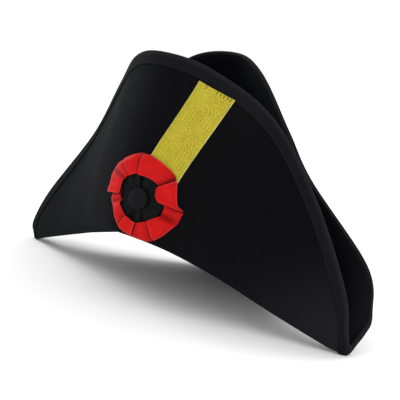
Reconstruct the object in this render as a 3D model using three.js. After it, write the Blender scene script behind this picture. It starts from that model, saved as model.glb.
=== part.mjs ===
// A bicorne: a felt hat whose round brim is turned up in front and behind into two tall flaps, which
// meet in a drooping horn at each side. The front flap carries a ribbon strap and a pleated cockade.
//
// Units are millimetres and +Z is up. X runs from horn to horn and the front flap faces -Y. The hat
// stands as it would on a table: on the back fold of the brim and on both horns, leaning back a little.
// The origin is on the table, under the middle of the hat.

import * as THREE from 'three';
import { ParametricGeometry } from 'three/addons/geometries/ParametricGeometry.js';

// ---- Driving dimensions ----

// Felt of the crown and of the brim, and the small gaps kept between two pieces that touch: the second
// under a piece that is laid over the curved flap.
const CROWN_FELT = 2.0;
const BRIM_FELT = 2.2;
const GAP = 0.3;
const DRAPE_GAP = 0.5;

// The head opening is an oval. Its plane leans back with the hat.
const HEAD_LENGTH = 191;
const HEAD_WIDTH = 168;
const HEAD_CENTRE = new THREE.Vector3( 0, - 2, 46 );
const HEAD_LEAN = THREE.MathUtils.degToRad( 15 );
const CROWN_DEPTH = 104;
const CROWN_FULLNESS = 2.8;

// Ribs of the brim, from the middle of the front to the middle of the back, over the +X side.
// head: bearing of the rib's foot on the head opening, in degrees (-90 is the front, 90 the back).
// fold: corner at which the felt turns up. edge: free edge. bow: how far the flap swells outward
// between them. round: size of the rounding at the fold.
const RIBS = [
	{ head: - 90, fold: [ 0, - 104.5, 69.5 ], edge: [ 0, - 69, 247.5 ], bow: 7, round: 3 },
	{ head: - 57, fold: [ 50, - 87.5, 60.5 ], edge: [ 50.5, - 55, 238 ], bow: 7, round: 4 },
	{ head: - 38, fold: [ 100, - 65, 43.5 ], edge: [ 104, - 22, 202 ], bow: 6, round: 5 },
	{ head: - 24, fold: [ 152, - 47, 23.5 ], edge: [ 155, - 7, 136 ], bow: 4, round: 5 },
	{ head: - 10, fold: [ 203, - 31, 6 ], edge: [ 210.5, - 17, 59 ], bow: 2, round: 5 },
	{ head: - 3, fold: [ 218, - 25, 1.5 ], edge: [ 225.5, - 24, 22 ], bow: 0, round: 4 },
	{ head: 0, fold: [ 225.5, - 19, 0.5 ], edge: [ 228.5, - 18.5, 8.5 ], bow: 0, round: 2 },
	{ head: 3, fold: [ 224, - 11, 4.5 ], edge: [ 232, - 4, 22 ], bow: 0, round: 5 },
	{ head: 6, fold: [ 215, - 9, 7 ], edge: [ 227.5, 9.5, 36.5 ], bow: 0, round: 5 },
	{ head: 10, fold: [ 203, - 6, 10 ], edge: [ 208, 19, 76.5 ], bow: 2, round: 5 },
	{ head: 24, fold: [ 152, 24, 31 ], edge: [ 137, 9.5, 146 ], bow: 6, round: 6 },
	{ head: 38, fold: [ 103, 61, 24 ], edge: [ 100, 15.5, 184 ], bow: 12, round: 7 },
	{ head: 57, fold: [ 55, 89, 6 ], edge: [ 50, 21, 236 ], bow: 25, round: 8 },
	{ head: 90, fold: [ 0, 102, - 9 ], edge: [ 0, 36, 249 ], bow: 25, round: 9 },
];

// Felt band sewn round the free edge: on the outer face and over the cut edge. It is narrowest in the
// middle of each flap.
const BAND_WIDTH = 12.4;
const BAND_WIDTH_AT_HORN = 17.5;
const BAND_FELT = 0.9;

// Cockade and strap lie on the front flap. The cockade's middle is given across and up the flap.
const COCKADE_X = 21;
const COCKADE_Z = 110;
const COCKADE_PUFF = 5.2;
const ROSETTE_RADIUS = 25;
const ROSETTE_PLEATS = 14;
const ROSETTE_PUFF = 2.0;
const ROSETTE_PLEAT_RISE = 0.7;
const BUTTON_RADIUS = 10.5;
const BUTTON_X = - 1.5;
const BUTTON_Y = - 1.5;

// The red ruffle, clockwise from its top. bearing: degrees round the cockade. outer, inner: radius of
// the ribbon's two sides there. rise: how much higher than usual it lies. Two rows 1.5 to 2 degrees
// apart are the side of a pleat, which drops from the higher row to the lower one.
const RUFFLE = [
	{ bearing: 97, outer: 42, inner: 22, rise: 1.0 },
	{ bearing: 70, outer: 40, inner: 21, rise: 0.7 },
	{ bearing: 52, outer: 40, inner: 22, rise: 0.1 },
	{ bearing: 36, outer: 40, inner: 21.5, rise: - 1.0 },
	{ bearing: 34, outer: 40, inner: 20.5, rise: 1.2 },
	{ bearing: 22, outer: 37.6, inner: 18, rise: 1.2 },
	{ bearing: 8, outer: 36.8, inner: 17, rise: 1.2 },
	{ bearing: - 2, outer: 39, inner: 18, rise: 1.3 },
	{ bearing: - 7, outer: 45, inner: 20, rise: 1.4 },
	{ bearing: - 9, outer: 45, inner: 25, rise: - 0.9 },
	{ bearing: - 26, outer: 44.6, inner: 25.5, rise: - 1.2 },
	{ bearing: - 34, outer: 43.2, inner: 25, rise: 0.8 },
	{ bearing: - 50, outer: 42.8, inner: 24, rise: 0.9 },
	{ bearing: - 63.5, outer: 43.5, inner: 24, rise: 1.1 },
	{ bearing: - 65, outer: 43.3, inner: 24, rise: - 1.0 },
	{ bearing: - 80, outer: 42.4, inner: 24.5, rise: 0 },
	{ bearing: - 95, outer: 40.6, inner: 25, rise: - 0.8 },
	{ bearing: - 96.5, outer: 40.4, inner: 24.8, rise: 0.8 },
	{ bearing: - 108, outer: 39.7, inner: 24.3, rise: 0.6 },
	{ bearing: - 121.5, outer: 40.1, inner: 24, rise: 0.9 },
	{ bearing: - 123, outer: 40, inner: 23.8, rise: - 0.7 },
	{ bearing: - 143, outer: 36.8, inner: 23.3, rise: 0.6 },
	{ bearing: - 163, outer: 37.8, inner: 21.5, rise: - 1.2 },
	{ bearing: - 171, outer: 37.5, inner: 22, rise: - 0.2 },
	{ bearing: - 177, outer: 36, inner: 23, rise: - 0.9 },
	{ bearing: - 179, outer: 44.8, inner: 24, rise: 1.1 },
	{ bearing: - 197, outer: 44.4, inner: 25.5, rise: 0.7 },
	{ bearing: - 207, outer: 46, inner: 25.4, rise: - 1.2 },
	{ bearing: - 219, outer: 45, inner: 25.3, rise: 0 },
	{ bearing: - 229.5, outer: 43.6, inner: 24.3, rise: - 0.9 },
	{ bearing: - 231, outer: 43.8, inner: 24.3, rise: 0.8 },
	{ bearing: - 246, outer: 43, inner: 23.5, rise: 0.5 },
	{ bearing: - 262, outer: 42.6, inner: 22.4, rise: - 1.2 },
];

// The gold strap leans back from the cockade's middle, and starts to the side of it.
const STRAP_WIDTH = 38;
const STRAP_THICKNESS = 1.0;
const STRAP_LEAN = THREE.MathUtils.degToRad( 22.5 );
const STRAP_LENGTH = 123;
const STRAP_OFFSET = 4;

// ---- Brim ----

// A closed curve through one point of every rib, mirrored over to the -X side.
function ringThrough( pointOfRib ) {

	const half = RIBS.map( pointOfRib );
	const mirrored = half.slice( 1, - 1 ).reverse().map( ( p ) => new THREE.Vector3( - p.x, p.y, p.z ) );
	return new THREE.CatmullRomCurve3( [ ...half, ...mirrored ], true, 'catmullrom', 0.5 );

}

const foldRing = ringThrough( ( rib ) => new THREE.Vector3( ...rib.fold ) );
const edgeRing = ringThrough( ( rib ) => new THREE.Vector3( ...rib.edge ) );
const shapeRing = ringThrough( ( rib ) => new THREE.Vector3( 0, rib.bow, rib.round ) );
const bearingRing = ringThrough( ( rib ) => {

	const bearing = THREE.MathUtils.degToRad( rib.head );
	return new THREE.Vector3( Math.cos( bearing ), Math.sin( bearing ), 0 );

} );

const headAxis = new THREE.Vector3( 0, Math.sin( HEAD_LEAN ), Math.cos( HEAD_LEAN ) );
const headBack = new THREE.Vector3( 0, Math.cos( HEAD_LEAN ), - Math.sin( HEAD_LEAN ) );

// Outer face of the felt along one rib, as a function of s from 0 to 1: straight under the brim from
// the head opening to the fold, round the fold, then up the flap to the free edge.
const UNDER_END = 4 / 15;
const FOLD_END = 7 / 15;

function ribCurve( u ) {

	const at = u - Math.floor( u );
	const bearing = bearingRing.getPoint( at );
	const around = Math.atan2( bearing.y, bearing.x );
	const foot = HEAD_CENTRE.clone();
	foot.x += Math.cos( around ) * HEAD_WIDTH / 2;
	foot.addScaledVector( headBack, Math.sin( around ) * HEAD_LENGTH / 2 );
	foot.addScaledVector( headAxis, - GAP - BRIM_FELT );

	const fold = foldRing.getPoint( at );
	const edge = edgeRing.getPoint( at );
	const shape = shapeRing.getPoint( at );
	const along = foldRing.getTangent( at );
	const outward = new THREE.Vector3( along.y, - along.x, 0 ).normalize();

	// The swell is a hump that is highest a third of the way up: 27/4 q (1-q)^2.
	const swell = outward.clone().multiplyScalar( shape.y * 27 / 4 );
	const underRun = foot.clone().sub( fold );
	const flapRun = edge.clone().sub( fold ).add( swell );
	const underRound = Math.min( shape.z, 0.45 * underRun.length() );
	const flapRound = Math.min( shape.z, 0.45 * flapRun.length() );
	const foldStart = fold.clone().addScaledVector( underRun.normalize(), underRound );
	const foldEnd = fold.clone().addScaledVector( flapRun.normalize(), flapRound );
	const turn = new THREE.QuadraticBezierCurve3( foldStart, fold, foldEnd );

	return ( s ) => {

		if ( s <= UNDER_END ) return foot.clone().lerp( foldStart, s / UNDER_END );
		if ( s <= FOLD_END ) return turn.getPoint( ( s - UNDER_END ) / ( FOLD_END - UNDER_END ) );
		const q = ( s - FOLD_END ) / ( 1 - FOLD_END );
		return foldEnd.clone().lerp( edge, q ).addScaledVector( swell, q * ( 1 - q ) * ( 1 - q ) );

	};

}

// Outward direction of the felt at ( u, s ).
function feltNormal( u, s ) {

	const stepU = 0.002;
	const stepS = 0.01;
	const rib = ribCurve( u );
	const alongRib = rib( Math.min( s + stepS, 1 ) ).sub( rib( Math.max( s - stepS, 0 ) ) );
	const acrossRibs = ribCurve( u + stepU )( s ).sub( ribCurve( u - stepU )( s ) );
	return acrossRibs.cross( alongRib ).normalize();

}

// Width of the band on the rib at u.
function bandWidth( u ) {

	const towardHorn = bearingRing.getPoint( u ).x ** 4;
	return THREE.MathUtils.lerp( BAND_WIDTH, BAND_WIDTH_AT_HORN, towardHorn );

}

const RIB_STEPS = 15;
const BAND_STEPS = 4;
const BRIM_RIBS = 84;

// Place s on a rib that lies a distance in from the free edge.
function placeFromEdge( rib, distance ) {

	const step = 0.01;
	let run = 0;
	let s = 1;
	while ( s > step ) {

		const length = rib( s ).distanceTo( rib( s - step ) );
		if ( run + length >= distance ) return s - step * ( distance - run ) / length;
		run += length;
		s -= step;

	}

	return s;

}

// Place s of a ring of the brim. The last rings are spaced evenly under the band, the others over the
// rest of the rib.
function placeOfRing( rib, ring, width ) {

	const ringsLeft = RIB_STEPS - ring;
	if ( ringsLeft <= BAND_STEPS ) return placeFromEdge( rib, width * ringsLeft / BAND_STEPS );
	return placeFromEdge( rib, width ) * ring / ( RIB_STEPS - BAND_STEPS );

}

// Closed section of the felt: out along the outer face, over the free edge, back along the inner face
// and over the edge at the head opening. Felt that would reach below the table is pressed flat.
function brimSurface( v, u, target ) {

	const at = u % 1;
	const turn = ( 1 - v ) * ( 2 * RIB_STEPS + 2 );
	const outer = Math.min( turn, RIB_STEPS );
	const inner = THREE.MathUtils.clamp( turn - RIB_STEPS - 1, 0, RIB_STEPS );
	const overEdge = THREE.MathUtils.clamp( turn - RIB_STEPS, 0, 1 );
	const overHead = THREE.MathUtils.clamp( turn - 2 * RIB_STEPS - 1, 0, 1 );
	const rib = ribCurve( at );
	const s = placeOfRing( rib, outer - inner, bandWidth( at ) );
	target.copy( rib( s ) ).addScaledVector( feltNormal( at, s ), - BRIM_FELT * ( overEdge - overHead ) );
	target.z = Math.max( target.z, 0 );

}

const brimFelt = new THREE.MeshStandardMaterial( { color: '#141416', roughness: 0.95, metalness: 0 } );
const brim = new THREE.Mesh( new ParametricGeometry( brimSurface, 2 * RIB_STEPS + 2, BRIM_RIBS ), brimFelt );
brim.name = 'brim';

// ---- Crown ----

// A dome whose section is a superellipse: upright above the head opening and rounding over at the top.
function domeProfile( radius, depth, steps ) {

	const points = [];
	for ( let i = 0; i <= steps; i ++ ) {

		const swing = i / steps * Math.PI / 2;
		const across = i === steps ? 0 : Math.cos( swing ) ** ( 2 / CROWN_FULLNESS );
		points.push( new THREE.Vector2( radius * across, depth * Math.sin( swing ) ** ( 2 / CROWN_FULLNESS ) ) );

	}

	return points;

}

const DOME_STEPS = 9;
const CROWN_SIDES = 44;
const innerDome = domeProfile( HEAD_WIDTH / 2, CROWN_DEPTH - CROWN_FELT, DOME_STEPS );
const outerDome = domeProfile( HEAD_WIDTH / 2 + CROWN_FELT, CROWN_DEPTH, DOME_STEPS );
const crownGeometry = new THREE.LatheGeometry( [ ...innerDome.reverse(), ...outerDome ], CROWN_SIDES );
crownGeometry.rotateX( Math.PI / 2 );
crownGeometry.scale( 1, ( HEAD_LENGTH / 2 + CROWN_FELT ) / ( HEAD_WIDTH / 2 + CROWN_FELT ), 1 );
const crownFelt = new THREE.MeshStandardMaterial( { color: '#131315', roughness: 0.95, metalness: 0 } );
const crown = new THREE.Mesh( crownGeometry, crownFelt );
crown.name = 'crown';
crown.position.copy( HEAD_CENTRE );
crown.rotation.x = - HEAD_LEAN;

// ---- Edge band ----

// Section of the band. down: share of its width, in from the free edge and down the flap. beyond:
// distance past the free edge. depth: distance inward from the outer face of the felt.
const OUTSIDE = GAP + BAND_FELT;
const shares = Array.from( { length: BAND_STEPS + 1 }, ( _, i ) => i / BAND_STEPS );
const outsideRun = shares.map( ( down ) => ( { down, beyond: down ? 0 : OUTSIDE, depth: - OUTSIDE } ) );
const insideRun = shares.map( ( down ) => ( { down, beyond: down ? 0 : GAP, depth: - GAP } ) );
const BAND_SECTION = [
	...outsideRun.reverse(),
	{ down: 0, beyond: OUTSIDE, depth: BRIM_FELT },
	{ down: 0, beyond: GAP, depth: BRIM_FELT },
	...insideRun,
];

function bandSurface( u, v, target ) {

	const at = u % 1;
	const corner = Math.round( v * BAND_SECTION.length ) % BAND_SECTION.length;
	const { down, beyond, depth } = BAND_SECTION[ corner ];
	const rib = ribCurve( at );
	const s = placeFromEdge( rib, down * bandWidth( at ) );
	const pastEdge = rib( 1 ).sub( rib( 0.98 ) ).setLength( beyond );
	target.copy( rib( s ) ).addScaledVector( feltNormal( at, s ), - depth ).add( pastEdge );
	target.z = Math.max( target.z, 0 );

}

const bandFelt = new THREE.MeshStandardMaterial( { color: '#1e1e21', roughness: 0.9, metalness: 0 } );
const bandGeometry = new ParametricGeometry( bandSurface, BRIM_RIBS, BAND_SECTION.length );
const edgeBand = new THREE.Mesh( bandGeometry, bandFelt );
edgeBand.name = 'edge_band';

// ---- Trim on the front flap ----

const caster = new THREE.Raycaster();

// The point of the flap's outer face that lies across and up at ( x, z ), seen from the front.
function flapPoint( x, z ) {

	caster.set( new THREE.Vector3( x, - 300, z ), new THREE.Vector3( 0, 1, 0 ) );
	return caster.intersectObject( brim )[ 0 ].point;

}

// A frame on the flap at the cockade: x across, y up the flap and z straight out from it.
const reach = 20;
const acrossFlap = flapPoint( COCKADE_X + reach, COCKADE_Z ).sub( flapPoint( COCKADE_X - reach, COCKADE_Z ) );
const upFlap = flapPoint( COCKADE_X, COCKADE_Z + reach ).sub( flapPoint( COCKADE_X, COCKADE_Z - reach ) );
const outOfFlap = acrossFlap.clone().cross( upFlap ).normalize();
acrossFlap.normalize();
upFlap.crossVectors( outOfFlap, acrossFlap );

const trim = new THREE.Group();
trim.position.copy( flapPoint( COCKADE_X, COCKADE_Z ) );
trim.quaternion.setFromRotationMatrix( new THREE.Matrix4().makeBasis( acrossFlap, upFlap, outOfFlap ) );
trim.updateMatrixWorld();

// Lays a flat piece on the flap: each vertex moves in or out by the rise of the felt behind it.
function drape( geometry ) {

	const clearance = 100;
	const position = geometry.getAttribute( 'position' );
	const inward = outOfFlap.clone().negate();
	for ( let i = 0; i < position.count; i ++ ) {

		const start = new THREE.Vector3( position.getX( i ), position.getY( i ), clearance );
		caster.set( trim.localToWorld( start ), inward );
		const rise = clearance - caster.intersectObject( brim )[ 0 ].distance;
		position.setZ( i, position.getZ( i ) + rise );

	}

	return geometry;

}

const strapGeometry = new THREE.BoxGeometry( STRAP_WIDTH, STRAP_LENGTH, STRAP_THICKNESS, 7, 16, 1 );
strapGeometry.translate( STRAP_OFFSET, STRAP_LENGTH / 2, DRAPE_GAP + STRAP_THICKNESS / 2 );
strapGeometry.rotateZ( - STRAP_LEAN );
const brocade = new THREE.MeshStandardMaterial( { color: '#bfae38', roughness: 0.6, metalness: 0 } );
const strap = new THREE.Mesh( drape( strapGeometry ), brocade );
strap.name = 'strap';

// Height that the pleats add at a bearing: each pleat rises slowly and drops sharply on to the next.
function pleatRise( bearing, pleats, phase ) {

	const turn = bearing / ( 2 * Math.PI ) * pleats + phase;
	return turn - Math.floor( turn );

}

// Radius inside which the pleats flatten out towards the middle.
const PLEATS_MEET = 20;

// A pleated round made from a closed profile turned about z. The pleats swell its front face, above
// backRim. Its back stays flat.
function pleatedRound( profile, sides, pleats, backRim, rise ) {

	const geometry = new THREE.LatheGeometry( profile, sides );
	geometry.rotateX( Math.PI / 2 );
	const position = geometry.getAttribute( 'position' );
	for ( let i = 0; i < position.count; i ++ ) {

		const x = position.getX( i );
		const y = position.getY( i );
		const z = position.getZ( i );
		const bearing = Math.round( Math.atan2( y, x ) / ( 2 * Math.PI ) * sides ) % sides;
		const swell = pleatRise( bearing * 2 * Math.PI / sides, pleats, 0.5 );
		const front = z > backRim ? rise * swell * Math.min( Math.hypot( x, y ) / PLEATS_MEET, 1 ) : 0;
		position.setZ( i, z + front );

	}

	return drape( geometry );

}

const pointsOf = ( table ) => table.map( ( { radius, height } ) => new THREE.Vector2( radius, height ) );

// Heights are over the flap. The cockade lies on the strap, so its back is one strap and two gaps up.
const COCKADE_BACK = STRAP_THICKNESS + 2 * DRAPE_GAP;
const ROSETTE_TOP = COCKADE_BACK + ROSETTE_PUFF;
const RIBBON_BACK = ROSETTE_TOP + ROSETTE_PLEAT_RISE + 0.1 + GAP;

// Section across the ruffle: along its flat back, up past the rosette's rim and over it, and back over
// the puffed front.
const OVER_ROSETTE = ROSETTE_RADIUS + 1;

function ruffleSection( { outer, inner, rise } ) {

	const crest = COCKADE_BACK + COCKADE_PUFF + rise;
	return [
		{ radius: inner, height: RIBBON_BACK },
		{ radius: OVER_ROSETTE, height: RIBBON_BACK },
		{ radius: OVER_ROSETTE, height: COCKADE_BACK },
		{ radius: 0.8 * outer, height: COCKADE_BACK },
		{ radius: outer - 1, height: COCKADE_BACK },
		{ radius: outer, height: COCKADE_BACK + 1.5 },
		{ radius: outer - 5, height: crest - 1.4 },
		{ radius: inner + 0.4 * ( outer - inner ), height: crest },
		{ radius: inner + 2, height: crest },
		{ radius: inner, height: RIBBON_BACK + 0.8 },
	];

}

// The ruffle's table at a place between 0 and its number of rows, going straight from row to row.
function ruffleAt( place ) {

	const row = RUFFLE[ Math.floor( place ) % RUFFLE.length ];
	const next = RUFFLE[ Math.ceil( place ) % RUFFLE.length ];
	const part = place % 1;
	const bearingOfNext = next.bearing > row.bearing ? next.bearing - 360 : next.bearing;
	const mixed = { bearing: THREE.MathUtils.lerp( row.bearing, bearingOfNext, part ) };
	for ( const column of [ 'outer', 'inner', 'rise' ] ) {

		mixed[ column ] = THREE.MathUtils.lerp( row[ column ], next[ column ], part );

	}

	return mixed;

}

const SECTION_CORNERS = ruffleSection( RUFFLE[ 0 ] ).length;

function ruffleSurface( v, u, target ) {

	const row = ruffleAt( ( u % 1 ) * RUFFLE.length );
	const corner = Math.round( v * SECTION_CORNERS ) % SECTION_CORNERS;
	const { radius, height } = ruffleSection( row )[ corner ];
	const bearing = THREE.MathUtils.degToRad( row.bearing );
	target.set( radius * Math.cos( bearing ), radius * Math.sin( bearing ), height );

}

const redRibbon = new THREE.MeshStandardMaterial( { color: '#c41c18', roughness: 0.55, metalness: 0 } );
const redGeometry = drape( new ParametricGeometry( ruffleSurface, SECTION_CORNERS, 2 * RUFFLE.length ) );
const cockadeRed = new THREE.Mesh( redGeometry, redRibbon );
cockadeRed.name = 'cockade_red';

const blackProfile = pointsOf( [
	{ radius: 0, height: COCKADE_BACK },
	{ radius: ROSETTE_RADIUS / 2, height: COCKADE_BACK },
	{ radius: ROSETTE_RADIUS, height: COCKADE_BACK },
	{ radius: ROSETTE_RADIUS, height: COCKADE_BACK + 1 },
	{ radius: ROSETTE_RADIUS - 4, height: ROSETTE_TOP },
	{ radius: BUTTON_RADIUS, height: ROSETTE_TOP },
	{ radius: 0, height: ROSETTE_TOP },
] );
const blackRibbon = new THREE.MeshStandardMaterial( { color: '#100f10', roughness: 0.6, metalness: 0 } );
const blackGeometry = pleatedRound(
	blackProfile, 4 * ROSETTE_PLEATS, ROSETTE_PLEATS, COCKADE_BACK + 1.2, ROSETTE_PLEAT_RISE,
);
const cockadeBlack = new THREE.Mesh( blackGeometry, blackRibbon );
cockadeBlack.name = 'cockade_black';

const BUTTON_BACK = ROSETTE_TOP + 0.4 + GAP;
const buttonProfile = pointsOf( [
	{ radius: 0, height: BUTTON_BACK },
	{ radius: BUTTON_RADIUS - 1, height: BUTTON_BACK },
	{ radius: BUTTON_RADIUS, height: BUTTON_BACK + 1.6 },
	{ radius: BUTTON_RADIUS * 0.86, height: BUTTON_BACK + 3.8 },
	{ radius: BUTTON_RADIUS * 0.55, height: BUTTON_BACK + 5.3 },
	{ radius: 0, height: BUTTON_BACK + 6 },
] );
const buttonCloth = new THREE.MeshStandardMaterial( { color: '#1b1b1f', roughness: 0.8, metalness: 0 } );
const buttonGeometry = new THREE.LatheGeometry( buttonProfile, 24 );
buttonGeometry.rotateX( Math.PI / 2 );
buttonGeometry.translate( BUTTON_X, BUTTON_Y, 0 );
const cockadeButton = new THREE.Mesh( buttonGeometry, buttonCloth );
cockadeButton.name = 'cockade_button';

trim.add( strap, cockadeRed, cockadeBlack, cockadeButton );

const bicorne = new THREE.Group();
bicorne.add( crown, brim, edgeBand, trim );

export default bicorne;
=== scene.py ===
"""A black felt bicorne with a gold strap and a red and black cockade, standing on a table.

Lengths are written in millimetres and become metres where a mesh is made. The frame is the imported
model's: +X from horn to horn, the front flap towards -Y, +Z up and the table at z = 0.
"""

import bmesh
import bpy
import numpy as np
from mathutils import Matrix, Vector


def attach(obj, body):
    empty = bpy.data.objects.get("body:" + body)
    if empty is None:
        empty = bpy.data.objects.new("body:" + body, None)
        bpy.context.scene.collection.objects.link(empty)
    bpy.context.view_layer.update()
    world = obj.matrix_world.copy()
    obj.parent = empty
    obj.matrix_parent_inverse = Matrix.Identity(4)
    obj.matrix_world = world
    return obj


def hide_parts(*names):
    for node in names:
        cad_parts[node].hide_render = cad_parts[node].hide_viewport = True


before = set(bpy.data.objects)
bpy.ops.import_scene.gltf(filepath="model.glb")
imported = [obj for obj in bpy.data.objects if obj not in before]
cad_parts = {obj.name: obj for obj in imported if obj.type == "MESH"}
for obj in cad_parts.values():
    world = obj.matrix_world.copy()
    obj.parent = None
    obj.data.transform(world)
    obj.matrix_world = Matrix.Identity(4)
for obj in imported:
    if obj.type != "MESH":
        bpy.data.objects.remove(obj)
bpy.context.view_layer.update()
METRE = 0.001


# ---- Brim ----
# One disc of black wool felt with an oval hole for the head. It is steamed and turned up in front and
# behind into two tall flaps, which meet in a drooping horn at each side. Where the fold behind rests
# on the table, the felt is pressed flat.

BRIM_FELT = 2.2
GAP = 0.3
HEAD_LENGTH = 191.0
HEAD_WIDTH = 168.0
HEAD_CENTRE = np.array([0.0, -2.0, 46.0])
HEAD_LEAN = np.radians(15.0)
HEAD_AXIS = np.array([0.0, np.sin(HEAD_LEAN), np.cos(HEAD_LEAN)])
HEAD_BACK = np.array([0.0, np.cos(HEAD_LEAN), -np.sin(HEAD_LEAN)])

# Ribs of the brim over the +X side, from the middle of the front to the middle of the back. head is
# the bearing of the rib's foot on the head opening, fold the corner where the felt turns up, edge the
# free edge, bow how far the flap swells outward between them and round the rounding at the fold.
rib_columns = [("head", float), ("fold", float, 3), ("edge", float, 3), ("bow", float), ("round", float)]
right_ribs = np.array(
    [
        (-90, (0, -104.5, 69.5), (0, -69, 247.5), 7, 3),
        (-57, (50, -87.5, 60.5), (50.5, -55, 238), 7, 4),
        (-38, (100, -65, 43.5), (104, -22, 202), 6, 5),
        (-24, (152, -47, 23.5), (155, -7, 136), 4, 5),
        (-10, (203, -31, 6), (210.5, -17, 59), 2, 5),
        (-3, (218, -25, 1.5), (225.5, -24, 22), 0, 4),
        (0, (225.5, -19, 0.5), (228.5, -18.5, 8.5), 0, 2),
        (3, (224, -11, 4.5), (232, -4, 22), 0, 5),
        (6, (215, -9, 7), (227.5, 9.5, 36.5), 0, 5),
        (10, (203, -6, 10), (208, 19, 76.5), 2, 5),
        (24, (152, 24, 31), (137, 9.5, 146), 6, 6),
        (38, (103, 61, 24), (100, 15.5, 184), 12, 7),
        (57, (55, 89, 6), (50, 21, 236), 25, 8),
        (90, (0, 102, -9), (0, 36, 249), 25, 9),
    ],
    dtype=rib_columns,
)
left_ribs = right_ribs[-2:0:-1].copy()
left_ribs["head"] = 180 - left_ribs["head"]
left_ribs["fold"][:, 0] *= -1
left_ribs["edge"][:, 0] *= -1
ribs = np.concatenate([right_ribs, left_ribs])
rib_bearing = np.stack([np.cos(np.radians(ribs["head"])), np.sin(np.radians(ribs["head"]))], -1)
rib_shape = np.stack([ribs["bow"], ribs["round"]], -1)


def through_ribs(values, u):
    """Closed curve through one value for each rib, at the places u from 0 to 1 round the brim. Between
    ribs b and c, with a before and d after them, it is b plus half of
    t (c - a) + t^2 (2a - 5b + 4c - d) + t^3 (3b - a - 3c + d)."""
    count = len(values)
    place = np.mod(u, 1.0) * count
    i = np.floor(place).astype(int)
    t = (place - i)[..., None]
    a, b, c, d = (values[(i + k) % count] for k in (-1, 0, 1, 2))
    return b + 0.5 * t * (c - a + t * (2 * a - 5 * b + 4 * c - d + t * (3 * b - a - 3 * c + d)))


def unit(vectors):
    """Each vector divided by its length."""
    return vectors / np.linalg.norm(vectors, axis=-1, keepdims=True)


# Shares s of a rib at which the felt under the brim and the rounding at the fold end.
UNDER_END = 4 / 15
FOLD_END = 7 / 15
FELT_WAVES = 0.22


def felt_unevenness(u, s):
    """How far the steamed felt waves in and out of its smooth form: slow crossed sine waves, which die
    away towards the head opening."""
    turn = 2 * np.pi * u
    wave = np.sin(5 * turn + 4 * s + 0.6) + 0.8 * np.sin(9 * turn - 7 * s + 2.1)
    wave = wave + 0.5 * np.sin(17 * turn + 9 * s)
    return FELT_WAVES * wave * np.clip((s - UNDER_END) / (FOLD_END - UNDER_END), 0, 1)


def felt_face(u, s):
    """Outer face of the felt at place u round the brim and s along a rib: straight out from the head
    opening under the brim, round a parabola at the fold, then up the flap, which swells outward by a
    hump of 27/4 q (1 - q)^2 at share q of its height."""
    bearing = unit(through_ribs(rib_bearing, u))
    fold, edge, shape = (through_ribs(c, u) for c in (ribs["fold"], ribs["edge"], rib_shape))
    foot = HEAD_CENTRE - HEAD_AXIS * (GAP + BRIM_FELT) + HEAD_BACK * bearing[..., 1:] * HEAD_LENGTH / 2
    foot = foot + np.array([HEAD_WIDTH / 2, 0, 0]) * bearing[..., :1]
    along = through_ribs(ribs["fold"], u + 1e-4) - through_ribs(ribs["fold"], u - 1e-4)
    outward = unit(np.stack([along[..., 1], -along[..., 0], np.zeros_like(along[..., 0])], -1))
    swell = outward * shape[..., :1] * 27 / 4
    under, flap = foot - fold, edge - fold + swell
    under_length = np.linalg.norm(under, axis=-1, keepdims=True)
    flap_length = np.linalg.norm(flap, axis=-1, keepdims=True)
    start = fold + under / under_length * np.minimum(shape[..., 1:], 0.45 * under_length)
    end = fold + flap / flap_length * np.minimum(shape[..., 1:], 0.45 * flap_length)
    s = np.broadcast_to(s, np.shape(u))[..., None]
    a = np.clip(s / UNDER_END, 0, 1)
    b = np.clip((s - UNDER_END) / (FOLD_END - UNDER_END), 0, 1)
    q = np.clip((s - FOLD_END) / (1 - FOLD_END), 0, 1)
    straight = foot + (start - foot) * a
    rounded = (1 - b) ** 2 * start + 2 * b * (1 - b) * fold + b**2 * end
    rising = end + (edge - end) * q + swell * q * (1 - q) ** 2
    face = np.where(s <= UNDER_END, straight, np.where(s <= FOLD_END, rounded, rising))
    return face + outward * felt_unevenness(u[..., None], s)


def felt_out(u, s):
    """Direction out of the felt: the slope round the brim crossed with the slope along the rib."""
    low, high = np.clip(s - 0.006, 0, 1), np.clip(s + 0.006, 0, 1)
    along_brim = felt_face(u + 0.001, s) - felt_face(u - 0.001, s)
    return unit(np.cross(along_brim, felt_face(u, high) - felt_face(u, low)))


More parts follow.
